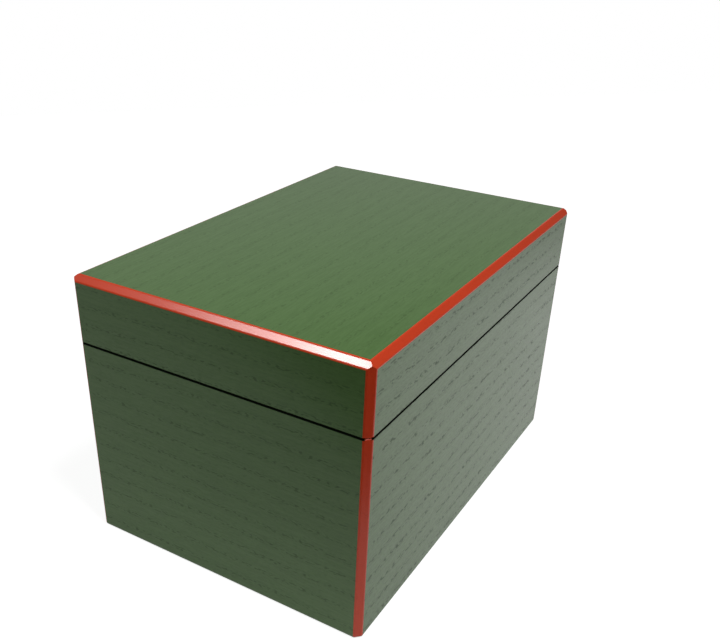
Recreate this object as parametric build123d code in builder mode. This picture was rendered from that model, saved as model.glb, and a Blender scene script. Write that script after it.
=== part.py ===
"""A lacquered paulownia tea box: a lined body, a hanging tray and a lift-off lid.

The box is made the way a box maker makes it. One closed block with chamfered
edges is drawn first, and the body and the lid are sawn out of it at the seam,
so their faces and chamfers run through. Four mitred boards make each frame,
thin slips let in across the mitres lock the corners, and a liner stands proud
of the body as the lip that the lid drops over. The tray hangs in the body by
its rim, which rests on the top of the lip.

Millimetres. X runs along the length, Y along the width, Z is up, and the
origin is the centre of the underside.
"""
from build123d import *
import os

# ---------------------------------------------------------------- sizes
# The closed box, outside
box_length = 213.0
box_width = 145.0
box_height = 130.4
seam_height = 99.0           # top edge of the body
seam_gap = 0.3               # the dark line between body and lid
edge_chamfer = 2.6           # leg of the chamfers on the upright and top edges
arris_radius = 1.2           # rounding where a chamfer meets a face
foot_radius = 1.5            # rounding all round the underside
seam_radius = 0.35           # eased arris each side of the seam

# Body
board_thickness = 5.0        # side boards of the body
bottom_thickness = 5.0
bottom_rebate = 2.5          # how far the bottom board is let into the sides
liner_thickness = 2.5
lip_rise = 6.0               # how far the liner stands above the seam
lip_round = 0.8              # lead-in round the top of the lip

# Lid
lid_clearance = 0.3          # between the lip and the inside of the lid
lid_lead_in = 0.5            # chamfer inside the lid's lower edge
top_thickness = 4.5          # top panel where it lies on the boards
tongue_height = 2.0          # middle of the panel, let down between the boards
tongue_clearance = 0.2
tongue_chamfer = 0.5

# Hanging tray
tray_clearance = 0.5         # between the tray and the liner
tray_side_thickness = 3.0
tray_bottom_thickness = 3.0
tray_rebate = 1.5            # how far its bottom is let into its sides
tray_depth = 26.0            # from the top of the lip down to its underside
tray_corner_radius = 0.8
tray_foot_radius = 0.6
rim_thickness = 2.5          # flange that rests on the lip
rim_setback = 0.3            # from the outside of the lip to the flange's edge
rim_corner_radius = 0.9
rim_round = 0.7              # upper edges of the flange

# Corner slips and pegs
key_thickness = 1.0
key_cover = 2.0              # wood left behind a slip, along the board's face
keys_per_body_corner = 3
keys_per_lid_corner = 2
keys_per_tray_corner = 2
peg_side = 1.6               # square pegs that hold the bottom board
peg_length = 12.0
pegs_per_long_side = 4
pegs_per_short_side = 3

# ---------------------------------------------------------------- worked out
lid_bottom = seam_height + seam_gap
lid_board_top = box_height - top_thickness
lid_board_thickness = board_thickness - lid_clearance
lip_top = seam_height + lip_rise
tray_underside = lip_top - tray_depth

# Depth of each frame's outer and inner faces below the outside of the box
liner_outer = board_thickness
liner_inner = liner_outer + liner_thickness
tray_outer = liner_inner + tray_clearance
tray_inner = tray_outer + tray_side_thickness
rim_outer = liner_outer + rim_setback
share_depth = tray_inner + tray_side_thickness    # past the innermost frame

# Each side by the quarter turn that brings the front board to it
side_turns = {"front": 0, "right": 90, "back": 180, "left": 270}

os.makedirs("parts", exist_ok=True)


# ---------------------------------------------------------------- helpers
def inset(depth):
    """Length and width of the box's plan, taken in by the same depth all round."""
    return box_length - 2 * depth, box_width - 2 * depth


def spread(low, high, count):
    """Evenly spaced places between two ends, half a space in from each."""
    return [low + (high - low) * (i + 0.5) / count for i in range(count)]


def upright_plane(turn):
    """Upright plane through the box's axis, facing the side at that turn."""
    along = Vector(1, 0, 0).rotate(Axis.Z, turn)
    outward = Vector(0, -1, 0).rotate(Axis.Z, turn)
    return Plane(origin=(0, 0, 0), x_dir=along, z_dir=outward)


def side_spans(turn):
    """The box's size along the side at that turn, and across to the far side."""
    return (box_length, box_width) if turn % 180 == 0 else (box_width, box_length)


def mitred_share(turn):
    """Everything that belongs to one side of the box, between its two mitres.

    In plan the four shares lie like the lower slopes of a hipped roof: each is
    bounded by 45 degree lines from the box's corners. Every frame is taken in
    by the same depth all round, so the one set of lines mitres them all.
    """
    along, across = side_spans(turn)
    with BuildPart() as share:
        with BuildSketch(Plane.XY.rotated((0, 0, turn))):
            with BuildLine():
                Polyline(
                    (-along / 2, -across / 2),
                    (along / 2, -across / 2),
                    (along / 2 - share_depth, share_depth - across / 2),
                    (share_depth - along / 2, share_depth - across / 2),
                    close=True,
                )
            make_face()
        extrude(amount=box_height)
    return share.part


def corner_keys(depth, thickness, heights):
    """Flat triangular slips across the four mitres of a frame, one set per height.

    Each fills a saw kerf that runs out on both outer faces and stops short of
    the inner corner.
    """
    length, width = inset(depth)
    leg = 2 * thickness - key_cover
    with BuildPart() as keys:
        for height in heights:
            with BuildSketch(Plane.XY.offset(height)):
                with BuildLine():
                    Polyline(
                        (length / 2, width / 2),
                        (length / 2 - leg, width / 2),
                        (length / 2, width / 2 - leg),
                        close=True,
                    )
                make_face()
            extrude(amount=key_thickness / 2, both=True)
        mirror(about=Plane.XZ)
        mirror(about=Plane.YZ)
    return keys.part


shares = {side: mitred_share(turn) for side, turn in side_turns.items()}

# ---------------------------------------------------------------- closed block
# The flat chamfers come first: a 45 degree taper gives the ones round the top
# and the plan gives the upright ones, so three chamfers meet in a point at each
# upper corner and the ridges between them stay crisp. Then every arris between
# a face and a chamfer is eased, and last the foot.
with BuildPart() as closed_block:
    with BuildSketch():
        Rectangle(box_length, box_width)
    extrude(amount=box_height - edge_chamfer)
    with BuildSketch(Plane.XY.offset(box_height - edge_chamfer)):
        Rectangle(box_length, box_width)
    extrude(amount=edge_chamfer, taper=45)
    with BuildSketch() as plan:
        Rectangle(box_length, box_width)
        chamfer(plan.vertices(), edge_chamfer)
    extrude(amount=box_height, mode=Mode.INTERSECT)
    upright_faces = closed_block.faces().filter_by(Axis.X) + closed_block.faces().filter_by(Axis.Y)
    top_face = closed_block.faces().sort_by(Axis.Z)[-1]
    foot_edges = closed_block.faces().sort_by(Axis.Z)[0].edges()
    fillet(upright_faces.edges() + top_face.edges() - foot_edges, arris_radius)
    fillet(closed_block.faces().sort_by(Axis.Z)[0].edges(), foot_radius)

# The two halves of the block, eased along the saw cut
with BuildPart() as body_block:
    add(closed_block.part)
    split(bisect_by=Plane.XY.offset(seam_height), keep=Keep.BOTTOM)
    fillet(body_block.edges().group_by(Axis.Z)[-1], seam_radius)

with BuildPart() as lid_block:
    add(closed_block.part)
    split(bisect_by=Plane.XY.offset(lid_bottom), keep=Keep.TOP)
    fillet(lid_block.edges().group_by(Axis.Z)[0], seam_radius)

# ---------------------------------------------------------------- body
body_key_blanks = corner_keys(0, board_thickness, spread(0, seam_height, keys_per_body_corner))

with BuildPart() as peg_blanks:
    for turn in side_turns.values():
        along, across = side_spans(turn)
        count = pegs_per_long_side if along > across else pegs_per_short_side
        with BuildSketch(upright_plane(turn).offset(across / 2)):
            with Locations(*[(x, bottom_thickness / 2) for x in spread(-along / 2, along / 2, count)]):
                Rectangle(peg_side, peg_side)
        extrude(amount=-peg_length)

with BuildPart() as body_frame:
    add(body_block.part)
    with BuildSketch():
        Rectangle(*inset(board_thickness))
    extrude(amount=seam_height, mode=Mode.SUBTRACT)
    with BuildSketch():
        Rectangle(*inset(board_thickness - bottom_rebate))
    extrude(amount=bottom_thickness, mode=Mode.SUBTRACT)
    add(body_key_blanks, mode=Mode.SUBTRACT)
    add(peg_blanks.part, mode=Mode.SUBTRACT)

for side, share in shares.items():
    with BuildPart() as body_board:
        add(body_frame.part)
        add(share, mode=Mode.INTERSECT)
    body_board.part.label = f"body_{side}_board"
    export_step(body_board.part, f"parts/body_{side}_board.step")

with BuildPart() as bottom_board:
    with BuildSketch():
        Rectangle(*inset(board_thickness - bottom_rebate))
    extrude(amount=bottom_thickness)
    add(peg_blanks.part, mode=Mode.SUBTRACT)
bottom_board.part.label = "bottom_board"
export_step(bottom_board.part, "parts/bottom_board.step")

with BuildPart() as bottom_pegs:
    add(peg_blanks.part)
    add(body_block.part, mode=Mode.INTERSECT)
bottom_pegs.part.label = "bottom_pegs"
export_step(bottom_pegs.part, "parts/bottom_pegs.step")

with BuildPart() as body_corner_keys:
    add(body_key_blanks)
    add(body_block.part, mode=Mode.INTERSECT)
body_corner_keys.part.label = "body_corner_keys"
export_step(body_corner_keys.part, "parts/body_corner_keys.step")

# The liner stands on the bottom board, and its upper edge is the lip
with BuildPart() as liner_frame:
    with BuildSketch(Plane.XY.offset(bottom_thickness)):
        Rectangle(*inset(liner_outer))
    extrude(amount=lip_top - bottom_thickness)
    fillet(liner_frame.edges().group_by(Axis.Z)[-1], lip_round)
    with BuildSketch(Plane.XY.offset(bottom_thickness)):
        Rectangle(*inset(liner_inner))
    extrude(amount=lip_top - bottom_thickness, mode=Mode.SUBTRACT)

for side, share in shares.items():
    with BuildPart() as liner_board:
        add(liner_frame.part)
        add(share, mode=Mode.INTERSECT)
    liner_board.part.label = f"liner_{side}_board"
    export_step(liner_board.part, f"parts/liner_{side}_board.step")

# ---------------------------------------------------------------- hanging tray
tray_key_heights = spread(tray_underside, lip_top, keys_per_tray_corner)
tray_key_blanks = corner_keys(tray_outer, tray_side_thickness, tray_key_heights)

with BuildPart() as tray_block:
    with BuildSketch(Plane.XY.offset(tray_underside)) as tray_plan:
        Rectangle(*inset(tray_outer))
        fillet(tray_plan.vertices(), tray_corner_radius)
    extrude(amount=tray_depth)
    fillet(tray_block.edges().group_by(Axis.Z)[0], tray_foot_radius)

with BuildPart() as tray_frame:
    add(tray_block.part)
    with BuildSketch(Plane.XY.offset(tray_underside)):
        Rectangle(*inset(tray_inner))
    extrude(amount=tray_depth, mode=Mode.SUBTRACT)
    with BuildSketch(Plane.XY.offset(tray_underside)):
        Rectangle(*inset(tray_inner - tray_rebate))
    extrude(amount=tray_bottom_thickness, mode=Mode.SUBTRACT)
    add(tray_key_blanks, mode=Mode.SUBTRACT)

for side, share in shares.items():
    with BuildPart() as tray_side:
        add(tray_frame.part)
        add(share, mode=Mode.INTERSECT)
    tray_side.part.label = f"tray_{side}_side"
    export_step(tray_side.part, f"parts/tray_{side}_side.step")

with BuildPart() as tray_bottom:
    with BuildSketch(Plane.XY.offset(tray_underside)):
        Rectangle(*inset(tray_inner - tray_rebate))
    extrude(amount=tray_bottom_thickness)
tray_bottom.part.label = "tray_bottom"
export_step(tray_bottom.part, "parts/tray_bottom.step")

with BuildPart() as tray_corner_keys:
    add(tray_key_blanks)
    add(tray_block.part, mode=Mode.INTERSECT)
tray_corner_keys.part.label = "tray_corner_keys"
export_step(tray_corner_keys.part, "parts/tray_corner_keys.step")

# The rim covers the tops of the sides and reaches out over the lip
with BuildPart() as rim_frame:
    with BuildSketch(Plane.XY.offset(lip_top)) as rim_plan:
        Rectangle(*inset(rim_outer))
        fillet(rim_plan.vertices(), rim_corner_radius)
        Rectangle(*inset(tray_inner), mode=Mode.SUBTRACT)
    extrude(amount=rim_thickness)
    fillet(rim_frame.edges().group_by(Axis.Z)[-1], rim_round)

for side, share in shares.items():
    with BuildPart() as tray_rim:
        add(rim_frame.part)
        add(share, mode=Mode.INTERSECT)
    tray_rim.part.label = f"tray_rim_{side}"
    export_step(tray_rim.part, f"parts/tray_rim_{side}.step")

# ---------------------------------------------------------------- lid
lid_key_heights = spread(lid_bottom, lid_board_top, keys_per_lid_corner)
lid_key_blanks = corner_keys(0, lid_board_thickness, lid_key_heights)

with BuildPart() as lid_frame:
    add(lid_block.part)
    split(bisect_by=Plane.XY.offset(lid_board_top), keep=Keep.BOTTOM)
    with BuildSketch(Plane.XY.offset(lid_bottom)):
        Rectangle(*inset(lid_board_thickness))
    extrude(amount=lid_board_top - lid_bottom, mode=Mode.SUBTRACT)
    lower_edge = lid_frame.faces().sort_by(Axis.Z)[0]
    chamfer(lower_edge.inner_wires()[0].edges(), lid_lead_in)
    add(lid_key_blanks, mode=Mode.SUBTRACT)

for side, share in shares.items():
    with BuildPart() as lid_board:
        add(lid_frame.part)
        add(share, mode=Mode.INTERSECT)
    lid_board.part.label = f"lid_{side}_board"
    export_step(lid_board.part, f"parts/lid_{side}_board.step")

with BuildPart() as lid_corner_keys:
    add(lid_key_blanks)
    add(lid_block.part, mode=Mode.INTERSECT)
lid_corner_keys.part.label = "lid_corner_keys"
export_step(lid_corner_keys.part, "parts/lid_corner_keys.step")

# The panel's chamfered rim lies on the boards, and its middle drops between them
with BuildPart() as lid_top_panel:
    with BuildSketch(Plane.XY.offset(lid_board_top)):
        Rectangle(*inset(lid_board_thickness + tongue_clearance))
    extrude(amount=-tongue_height)
    chamfer(lid_top_panel.edges().group_by(Axis.Z)[0], tongue_chamfer)
    with BuildSketch(Plane.XY.offset(lid_board_top)):
        Rectangle(box_length, box_width)
    extrude(amount=top_thickness)
    add(closed_block.part, mode=Mode.INTERSECT)
lid_top_panel.part.label = "lid_top_panel"
export_step(lid_top_panel.part, "parts/lid_top_panel.step")
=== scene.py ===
# %% [markdown]
# # A green lacquered tea box with vermilion edges
# The frame holds every board, slip and peg of the box at its real size. This
# lesson dresses them: it sets the camera, builds the lacquer finishes from nodes
# and lays them on the boards, and then sets up a small studio around the box.

# %% Load the frame
import math

import bpy
from mathutils import Matrix, Vector


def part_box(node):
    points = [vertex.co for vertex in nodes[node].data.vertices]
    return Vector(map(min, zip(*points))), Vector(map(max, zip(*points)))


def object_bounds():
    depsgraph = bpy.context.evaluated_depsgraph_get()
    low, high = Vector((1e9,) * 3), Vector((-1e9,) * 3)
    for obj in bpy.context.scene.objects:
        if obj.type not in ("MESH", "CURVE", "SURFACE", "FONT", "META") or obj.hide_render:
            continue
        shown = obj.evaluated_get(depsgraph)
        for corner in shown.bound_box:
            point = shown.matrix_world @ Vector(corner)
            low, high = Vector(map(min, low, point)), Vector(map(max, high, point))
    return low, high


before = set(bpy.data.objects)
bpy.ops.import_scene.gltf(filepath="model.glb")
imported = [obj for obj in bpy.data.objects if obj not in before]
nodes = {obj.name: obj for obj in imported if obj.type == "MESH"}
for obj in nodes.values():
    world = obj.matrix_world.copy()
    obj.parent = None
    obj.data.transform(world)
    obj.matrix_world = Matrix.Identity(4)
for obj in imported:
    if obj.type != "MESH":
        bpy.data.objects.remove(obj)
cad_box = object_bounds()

mm = 0.001
half_length, half_width, box_height = cad_box[1]
seam_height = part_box("body_front_board")[1].z
print("box, mm:", [round(v / mm, 1) for v in (2 * half_length, 2 * half_width, box_height)])

# %% [markdown]
# ## The camera
# The photograph was taken from above the near corner, close up, and fits a
# normal lens of 43 mm. It was cropped off centre, which a lens shift repeats.
# The three angles below are the fitted ones: azimuth 0 looks along +Y,
# elevation is above the horizon, and the roll is a slight tilt of the camera
# about its own line of sight.

# %% Camera
camera_place = Vector((-337.9, -193.05, 268.31)) * mm
azimuth, elevation, roll = (math.radians(a) for a in (-59.405, 29.772, 1.562))


def camera_axes():
    """Right, up and back of the camera.

    Back points from the scene to the camera, right is level before the roll,
    and the roll turns right and up together about back.
    """
    back = Vector((math.sin(azimuth) * math.cos(elevation),
                   -math.cos(azimuth) * math.cos(elevation),
                   math.sin(elevation)))
    level = Vector((math.cos(azimuth), math.sin(azimuth), 0))
    upright = back.cross(level)
    right = level * math.cos(roll) + upright * math.sin(roll)
    return right, back.cross(right), back


camera_data = bpy.data.cameras.new("camera")
camera_data.sensor_width = 36
camera_data.lens = 43.1
camera_data.shift_x = 0.0387
camera_data.shift_y = 0.0979
camera = bpy.data.objects.new("camera", camera_data)
bpy.context.scene.collection.objects.link(camera)
camera.matrix_world = Matrix.Translation(camera_place) @ Matrix(camera_axes()).transposed().to_4x4()
bpy.context.scene.camera = camera
print("camera height, mm:", round(camera_place.z / mm))

# %% [markdown]
# ## Writing shaders as sums
# A finish is easier to read as arithmetic than as a web of nodes. This small
# class wraps one socket, and each operator adds the Math node that it names.
# Numbers alone stay Python numbers.

# %% Sockets that can be added up


class Wire:
    """An output socket that takes part in Python expressions."""

    def __init__(self, shop, socket):
        self.shop, self.socket = shop, socket

    def math(self, operation, *others):
        """One Math node with this wire in its first socket."""
        return self.shop.node("ShaderNodeMath", {"operation": operation}, self, *others)

    def __add__(self, other):
        return self.math("ADD", other)

    def __sub__(self, other):
        return self.math("SUBTRACT", other)

    def __rsub__(self, other):
        return self.shop.node("ShaderNodeMath", {"operation": "SUBTRACT"}, other, self)

    def __mul__(self, other):
        return self.math("MULTIPLY", other)

    def __truediv__(self, other):
        return self.math("DIVIDE", other)

    def __abs__(self):
        return self.math("ABSOLUTE")

    __radd__ = __add__
    __rmul__ = __mul__

    def fraction(self):
        """What is left after the whole number is taken off."""
        return self.math("FRACT")

    def most(self, other):
        """The larger of the two."""
        return self.math("MAXIMUM", other)

    def least(self, other):
        """The smaller of the two."""
        return self.math("MINIMUM", other)

    def ramp(self, start, end):
        """0 below start, 1 above end, with an eased slope between."""
        ends = {"From Min": start, "From Max": end}
        return self.shop.node("ShaderNodeMapRange", {"interpolation_type": "SMOOTHSTEP"}, self, **ends)


# %% [markdown]
# ## A shop for each finish
# Every material needs the same few things: nodes, the place of the point that
# is being shaded, noise, and a mix of two colours. A shop holds one node tree
# and adds them to it, all through one method. Colours go through the Mix node,
# because a Math node would turn them grey.

# %% One way to add a node


class Shop:
    """The node tree of one material or world, and the one way to add to it."""

    def __init__(self, tree):
        self.tree = tree
        tree.nodes.clear()

    def node(self, kind, settings, *values, out=0, at=None, **named):
        """Adds a node, sets it up, fills its sockets and gives back one output.

        The sockets are filled in order, by number through at, or by name.
        """
        made = self.tree.nodes.new(kind)
        for name, value in settings.items():
            setattr(made, name, value)
        for key, value in {**dict(enumerate(values)), **(at or {}), **named}.items():
            socket = made.inputs[key]
            if isinstance(value, Wire):
                self.tree.links.new(value.socket, socket)
            else:
                socket.default_value = value
        return Wire(self, made.outputs[out]) if made.outputs else None

    def place(self):
        """Where the shaded point is at rest, in metres from the centre of the box's underside."""
        return self.node("ShaderNodeTexCoord", {}, out="Object")

    def axes(self, vector):
        """The X, Y and Z of a vector as three wires."""
        first = self.node("ShaderNodeSeparateXYZ", {}, vector)
        return [Wire(self, output) for output in first.socket.node.outputs]

    def noise(self, place, scale, detail):
        """Soft blotches from 0 to 1, about 1 / scale apart."""
        return self.node("ShaderNodeTexNoise", {}, Vector=place, Scale=scale, Detail=detail)

    def mix(self, share, first, second):
        """The first colour where share is 0 and the second where it is 1."""
        return self.node("ShaderNodeMix", {"data_type": "RGBA"}, share, at={6: first, 7: second}, out=2)


def new_material(name):
    """An empty material, and the shop that fills it."""
    material = bpy.data.materials.new(name)
    material.use_nodes = True
    return material, Shop(material.node_tree)


def colour(code):
    """A display colour such as 5A7B42 as the linear numbers that a shader wants."""
    parts = [int(code[i:i + 2], 16) / 255 for i in (0, 2, 4)]
    return (*[p / 12.92 if p <= 0.04045 else ((p + 0.055) / 1.055) ** 2.4 for p in parts], 1.0)


def grey(level):
    """A grey of that much linear light."""
    return (level, level, level, 1.0)


print("display grey 808080 in linear light:", round(colour("808080")[0], 3))

# %% [markdown]
# ## Where the vermilion goes
# The box is painted green first, then every chamfered edge is picked out in
# vermilion with a brush. The band runs a little past the chamfer on both
# sides, so its border is a straight line on each face, as true as a steady hand
# can draw it. It could be a painted picture or strips of thin mesh. Here it is
# worked out from coordinates, which keeps the border sharp and moves it with
# the box if its size changes: a point is on the band where two of its
# coordinates, counted from the faces, add up to less than the band's width.
#
# The same cell paints shade along the seam between lid and body. Its gap is
# narrower than a pixel here and would come out grey, though the photograph
# shows a black line, so the eased edges beside the gap are painted near black
# as shade too. The painted line keeps to the outside of the case, or else the
# whole upper edge of the body would be black once the lid is off.

# %% The painted band
upright_band, upright_narrows = 3.05 * mm, 0.2 * mm
top_band = 3.02 * mm
band_blur = 0.09 * mm
band_wander, wander_scale = 0.12 * mm, 60.0
seam_gap = 0.3 * mm
seam_middle = seam_height + seam_gap / 2
seam_shade_reach, seam_shade_depth, seam_shade_blur = 0.62 * mm, 0.5 * mm, 0.2


def painted_band(shop, x, y, z, place):
    """Three masks: all the vermilion edges, those round the lid's top, and the painted seam shade.

    A band's term is how far a point lies inside the band's border: the band's
    width, less the distances from the two faces that meet at the edge. The
    upright bands narrow a little from the front to the back.
    """
    across, along, up = half_length - abs(x), half_width - abs(y), box_height - z
    wander = (shop.noise(place, wander_scale, 1.0) - 0.5) * band_wander
    inside_top = (top_band - across - up).most(top_band - along - up) + wander
    backward = y.ramp(-half_width, half_width)
    inside_upright = upright_band - backward * upright_narrows - across - along + wander
    every_edge = inside_top.most(inside_upright).ramp(-band_blur, band_blur)
    top_edges = inside_top.ramp(-band_blur, band_blur)

    # Painted shade: a near-black line along the seam, on the outer eased edges of lid and body.
    blur_start, blur_end = 1 - seam_shade_blur, 1 + seam_shade_blur
    outside = 1 - across.least(along).ramp(seam_shade_depth * blur_start, seam_shade_depth * blur_end)
    beside = 1 - abs(z - seam_middle).ramp(seam_shade_reach * blur_start, seam_shade_reach * blur_end)
    return every_edge, top_edges, outside * beside


print("vermilion on an upright edge, mm along each face:", round(upright_band / mm, 2))

# %% [markdown]
# ## Open grain
# Paulownia is ring-porous: each year starts with a row of large open pores,
# and on a board cut along the grain these show as broken dark dashes in nearly
# straight lines some 8 or 9 mm apart, with finer dashes between. The dashes are
# noise stretched along the grain and kept where it is strong, and the yearly
# rows are a band that repeats across the grain, bent a little by slower noise.
# Stretched noise suits this better than Blender's Wave Texture, whose lines
# run on without a break.

# %% The grain
ring_spacing = 8.6 * mm
slow_bend, quick_bend = 5.0 * mm, 1.0 * mm
bold_length, bold_width = 2.1 * mm, 0.65 * mm
fine_length, fine_width = 2.0 * mm, 0.55 * mm
fibre_length, fibre_width = 9.0 * mm, 1.0 * mm
early_share, fine_share = 0.4, 0.3


def open_grain(shop, axes, grain, rise, offset):
    """Pores, fibre and cloud of one board, each a pattern from 0 to 1.

    A ring runs from 0 to 1 across the grain. Bold dashes fill the row in its
    middle, fainter ones the early wood round it, and fine ones lie anywhere.
    """
    along, across = axes[grain], axes[rise]
    through = axes[3 - grain - rise] + offset

    def stretched(length, width, detail, seed):
        """Noise with blotches of that length and width, in a part of the noise that seed picks."""
        spot = shop.node("ShaderNodeCombineXYZ", {}, along / length, across / width, through / width + seed)
        return shop.noise(spot, 1.0, detail)

    bend = ((stretched(140 * mm, 60 * mm, 1.0, 3.0) - 0.5) * slow_bend
            + (stretched(25 * mm, 12 * mm, 1.0, 7.0) - 0.5) * quick_bend)
    ring = ((across + bend + offset) / ring_spacing).fraction()
    row = (1 - abs(ring - 0.5) * 2).ramp(0.68, 0.86)
    early = ring.ramp(0.2, 0.5) * (1 - ring.ramp(0.55, 0.95))
    bold = stretched(bold_length, bold_width, 0.0, 11.0).ramp(0.53, 0.66)
    fine = stretched(fine_length, fine_width, 0.0, 17.0).ramp(0.58, 0.7)
    pores = (bold * row).most(bold * early * early_share).most(fine * fine_share)
    fibre = stretched(fibre_length, fibre_width, 1.0, 23.0).ramp(0.3, 0.7)
    cloud = stretched(50 * mm, 30 * mm, 2.0, 29.0)
    return pores, fibre, cloud


print("rows of pores up the long side:", round(box_height / ring_spacing))

# %% [markdown]
# ## Lacquer over the grain
# Thin lacquer follows the pores, so they stay as shallow pits. Real holes
# would cost millions of triangles and hardly show. A pit is made here in two
# ways instead: a bump bends the light at its rim, and a matt dark shader is
# mixed into the gloss, because a hole doesn't only look darker, it also
# reflects nothing. Vermilion lies thicker and nearly fills the pores, and the
# edges round the lid carry a polish that catches the lamps.

# %% The lacquer
green_deep, green_light = colour("53793A"), colour("5C8243")
red_deep, red_light = colour("F1481F"), colour("F94F24")
# Near black for the pores and for the painted shade along the seam.
pore_and_seam_shade_black = colour("141B10")
fibre_tint = 0.6
case_rough, band_rougher, inner_rough = 0.27, 0.05, 0.34
pore_depth, band_fills = 0.33, 0.85
edge_polish = 0.9
ripple_scale, ripple_height, pore_sink = 140.0, 0.25, 0.4


def lacquer(name, grain, rise, offset=0.0, openness=1.0, red=True):
    """The green lacquer of one board, with the grain along one axis and the rings along another.

    grain and rise are 0, 1 or 2 for X, Y or Z, offset slides the pattern to
    another part of the same tree, and openness is how much the pores show. red
    adds the vermilion edges and the painted shade along the seam, which only the case has.
    """
    material, shop = new_material(name)
    place = shop.place()
    axes = shop.axes(place)
    pores, fibre, cloud = open_grain(shop, axes, grain, rise, offset)
    pores = pores * openness
    green = shop.mix(fibre * fibre_tint + cloud * (1 - fibre_tint), green_deep, green_light)
    if red:
        band, top_edges, seam = painted_band(shop, *axes, place)
        paint = shop.mix(band, green, shop.mix(cloud, red_deep, red_light))
        rough = case_rough + band * band_rougher
        pores = pores * (1 - band * band_fills)
        # The seam's painted shade is mixed in with the pores' matt dark shader.
        pore_dark_and_seam_shade = (pores * pore_depth).most(seam)
        polish = top_edges * edge_polish
    else:
        paint, rough, pore_dark_and_seam_shade, polish = green, inner_rough, pores * pore_depth, 0.0
    relief = shop.noise(place, ripple_scale, 2.0) * ripple_height - pores * pore_sink
    bump = shop.node("ShaderNodeBump", {}, Strength=0.3, Distance=0.05 * mm, Height=relief)
    skin = shop.node("ShaderNodeBsdfPrincipled", {}, **{
        "Base Color": paint, "Roughness": rough, "IOR": 1.5, "Normal": bump,
        "Coat Weight": polish, "Coat Roughness": 0.2, "Coat IOR": 1.6})
    shade = shop.node("ShaderNodeBsdfPrincipled", {}, **{
        "Base Color": pore_and_seam_shade_black, "Roughness": 0.9, "Specular IOR Level": 0.0})
    surface = shop.node("ShaderNodeMixShader", {}, pore_dark_and_seam_shade, skin, shade)
    shop.node("ShaderNodeOutputMaterial", {}, surface)
    return material


# %% A lacquer for each kind of board
case_long = lacquer("lacquer_long_boards", 0, 2, openness=1.35)
case_end = lacquer("lacquer_end_boards", 1, 2, offset=50 * mm)
case_top = lacquer("lacquer_top_panel", 0, 1, offset=110 * mm, openness=0.6)
inner_long = lacquer("inner_lacquer_long", 0, 2, offset=200 * mm, openness=0.5, red=False)
inner_end = lacquer("inner_lacquer_end", 1, 2, offset=250 * mm, openness=0.5, red=False)
inner_flat = lacquer("inner_lacquer_flat", 0, 1, offset=300 * mm, openness=0.5, red=False)
lacquers = (case_long, case_end, case_top, inner_long, inner_end, inner_flat)
print("lacquers:", *[material.name for material in lacquers])

# %% [markdown]
# ## Vermilion on the tray's rim
# The rim is the part of the tray that is handled and seen first when the lid
# comes off, so it takes the colour of the edges. Its lacquer lies thick enough
# to hide the grain, which leaves a plain glossy red. A very slow noise keeps it
# from looking like plastic: it shifts the colour, the gloss and the surface a
# little, as a brush does.

# %% Rim finish
rim_rough, rim_rougher = 0.18, 0.05


def vermilion(name):
    """Glossy red lacquer with the faintest unevenness."""
    material, shop = new_material(name)
    cloud = shop.noise(shop.place(), 45.0, 2.0)
    paint = shop.mix(cloud, red_deep, red_light)
    bump = shop.node("ShaderNodeBump", {}, Strength=0.3, Distance=0.03 * mm, Height=cloud)
    surface = shop.node("ShaderNodeBsdfPrincipled", {}, **{
        "Base Color": paint, "Roughness": rim_rough + cloud * rim_rougher, "IOR": 1.45, "Normal": bump})
    shop.node("ShaderNodeOutputMaterial", {}, surface)
    return material


rim_red = vermilion("vermilion_rim")
print("rim:", rim_red.name)

# %% [markdown]
# ## Dressing the boards
# The grain runs along each board, so the long boards and the end boards take
# different materials. Slips and pegs are cut flush and lacquered over, so each
# group takes a finish of the boards that it sits in.

# %% Give every node its finish


def finish_of(name):
    """The material for a node, from the words in its name."""
    long_side = "front" in name or "back" in name
    if name.startswith("tray_rim"):
        return rim_red
    if name.startswith(("tray", "liner")):
        if name == "tray_bottom":
            return inner_flat
        return inner_long if long_side else inner_end
    if name == "lid_top_panel":
        return case_top
    if name == "bottom_board":
        return inner_flat
    return case_long if long_side or "keys" in name or "pegs" in name else case_end


for name, node in nodes.items():
    node.data.materials.clear()
    node.data.materials.append(finish_of(name))
print("nodes dressed:", len(nodes))

# %% [markdown]
# ## The studio
# The box stands on white paper in a dark room, with a white card far behind it.
# Glossy lacquer is a mirror for whatever lies in front of it, so the paper and
# the card are laid out for their reflections: the long side shows the paper,
# the far end of the lid shows the card, and the paper stops short in front of
# the near corner, which keeps the end face dark there. In reflections the paper
# grows brighter from left to right, then fades, as the sheen on the long side
# does. The camera itself sees both as plain white. The paper lies a hair below
# the box, because two surfaces in one plane would fight over the same pixels.

# %% How the paper and the card glow
towards = Vector((math.sin(azimuth), -math.cos(azimuth), 0))
sideways = Vector((math.cos(azimuth), math.sin(azimuth), 0))
glow_near, glow_start, glow_end = 0.86, 0.25, 0.9
paper_front, front_blur = 0.2, 0.02
mirrored_left, mirrored_right = 0.3, 0.76
brightens_from, brightens_to = -0.15, 0.2
fades_from, fades_to, mirrored_fade = 0.24, 0.44, 0.8
paper_grey, dark_grey = grey(0.5), grey(0.02)
card_mirrored = 0.46
white = grey(1.0)


def studio_glow(shop, direct, mirrored):
    """Light from a sheet: one strength straight to the camera, another in mirrors and through glass."""
    camera_ray, glossy_ray, clear_ray = [
        shop.node("ShaderNodeLightPath", {}, out=name)
        for name in ("Is Camera Ray", "Is Glossy Ray", "Is Transmission Ray")]
    strength = camera_ray * direct + (glossy_ray + clear_ray) * mirrored
    return camera_ray, shop.node("ShaderNodeEmission", {}, Color=white, Strength=strength)


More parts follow.
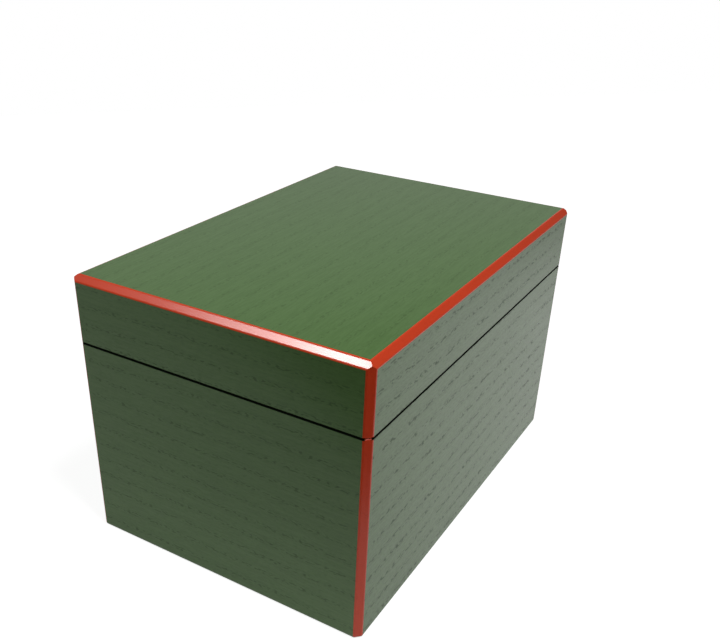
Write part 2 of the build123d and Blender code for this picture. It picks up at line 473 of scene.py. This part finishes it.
def paper(name):
    """White paper that keeps the box's shadow.

    Away from the box it glows at full white. Past its front edge it is white
    for the camera alone, and dark for every other ray.
    """
    material, shop = new_material(name)
    x, y = shop.axes(shop.place())[:2]
    far = (x * x + y * y).math("SQRT").ramp(glow_start, glow_end)
    direct = far * (1 - glow_near) + glow_near
    beyond = (x * towards.x + y * towards.y).ramp(paper_front, paper_front + front_blur)
    side = x * sideways.x + y * sideways.y
    fade = side.ramp(fades_from, fades_to) * mirrored_fade
    lit = side.ramp(brightens_from, brightens_to) * (1 - fade)
    mirrored = (1 - beyond) * (lit * (mirrored_right - mirrored_left) + mirrored_left)
    camera_ray, light = studio_glow(shop, direct, mirrored)
    matt = shop.node("ShaderNodeBsdfDiffuse", {}, Color=paper_grey)
    sheet = shop.node("ShaderNodeAddShader", {}, matt, light)
    black = shop.node("ShaderNodeBsdfDiffuse", {}, Color=dark_grey)
    hidden = beyond * (1 - camera_ray)
    surface = shop.node("ShaderNodeMixShader", {}, hidden, sheet, black)
    shop.node("ShaderNodeOutputMaterial", {}, surface)
    material.cycles.emission_sampling = "NONE"
    return material


def white_card(name):
    """A card that is plain white to the camera and dimmer in reflections."""
    material, shop = new_material(name)
    light = studio_glow(shop, 1.0, card_mirrored)[1]
    shop.node("ShaderNodeOutputMaterial", {}, light)
    material.cycles.emission_sampling = "NONE"
    return material


# %% Lay the paper and stand the card up
paper_reach = 3.0
paper_drop = Vector((0, 0, 0.1 * mm))
card_distance = 1.5
card_rise = Vector((0, 0, 0.68))
card_right, card_left = math.radians(-5), math.radians(100)


def flat_sheet(name, corners, material):
    """A four-cornered sheet, kept out of the object."""
    mesh = bpy.data.meshes.new(name)
    mesh.from_pydata([tuple(corner) for corner in corners], [], [(0, 1, 2, 3)])
    mesh.materials.append(material)
    sheet = bpy.data.objects.new(name, mesh)
    bpy.context.scene.collection.objects.link(sheet)
    return sheet


corner_signs = ((1, -1), (1, 1), (-1, 1), (-1, -1))
paper_corners = [(towards * a + sideways * b) * paper_reach - paper_drop for a, b in corner_signs]
floor = flat_sheet("floor", paper_corners, paper("paper"))
card_foot = [Vector((math.cos(a), math.sin(a), 0)) * card_distance for a in (card_right, card_left)]
card_head = [foot + card_rise for foot in reversed(card_foot)]
card = flat_sheet("card", card_foot + card_head, white_card("card"))
print("stage sheets:", floor.name, card.name)

# %% The dark room
room_light = grey(0.05)
world = bpy.data.worlds.new("room")
bpy.context.scene.world = world
world.use_nodes = True
room = Shop(world.node_tree)
seen = room.node("ShaderNodeLightPath", {}, out="Is Camera Ray")
background = room.node("ShaderNodeBackground", {}, room.mix(seen, room_light, white), 1.0)
room.node("ShaderNodeOutputWorld", {}, background)
print("room:", world.name)

# %% [markdown]
# ## The lamps
# The room is almost dark, so four lamps light the lacquer. The first hangs
# nearly overhead, a little in front, and lights the lid and, at a slant, the
# long side. The next two stand high at the back left, where the chamfer over
# the end face mirrors them just left of the near corner: a small one for the
# bright spot, and a wider one beside it for its softer tail. The last is low
# behind the box, for the two far sides. Square area lamps suit this because
# their size alone sets how soft a highlight or a shadow is.

# %% Lamps


def soft_lamp(name, place, aim, size, power):
    """A square lamp at place, facing aim."""
    data = bpy.data.lights.new(name, "AREA")
    data.shape = "SQUARE"
    data.size = size
    data.energy = power
    lamp = bpy.data.objects.new(name, data)
    bpy.context.scene.collection.objects.link(lamp)
    lamp.location = place
    lamp.rotation_euler = (Vector(aim) - Vector(place)).to_track_quat("-Z", "Y").to_euler()
    return lamp


near_corner_aim = (-0.05, -0.03, 0.1)
lamps = [
    soft_lamp("near_overhead", (-0.13, -0.39, 0.9), near_corner_aim, 0.3, 4.2),
    soft_lamp("back_left", (-0.66, 0.45, 1.06), near_corner_aim, 0.14, 2.0),
    soft_lamp("back_left_wide", (-0.646, 0.6, 1.05), near_corner_aim, 0.24, 1.05),
    soft_lamp("behind", (0.7, 1.1, 0.4), (0, 0, 0.07), 0.5, 5.0)]
print("lamps:", *[lamp.name for lamp in lamps])

# %% [markdown]
# ## Finish
# The view transform is plain, so colours come out as written.

# %% Plain colours
bpy.context.scene.view_settings.view_transform = "Standard"
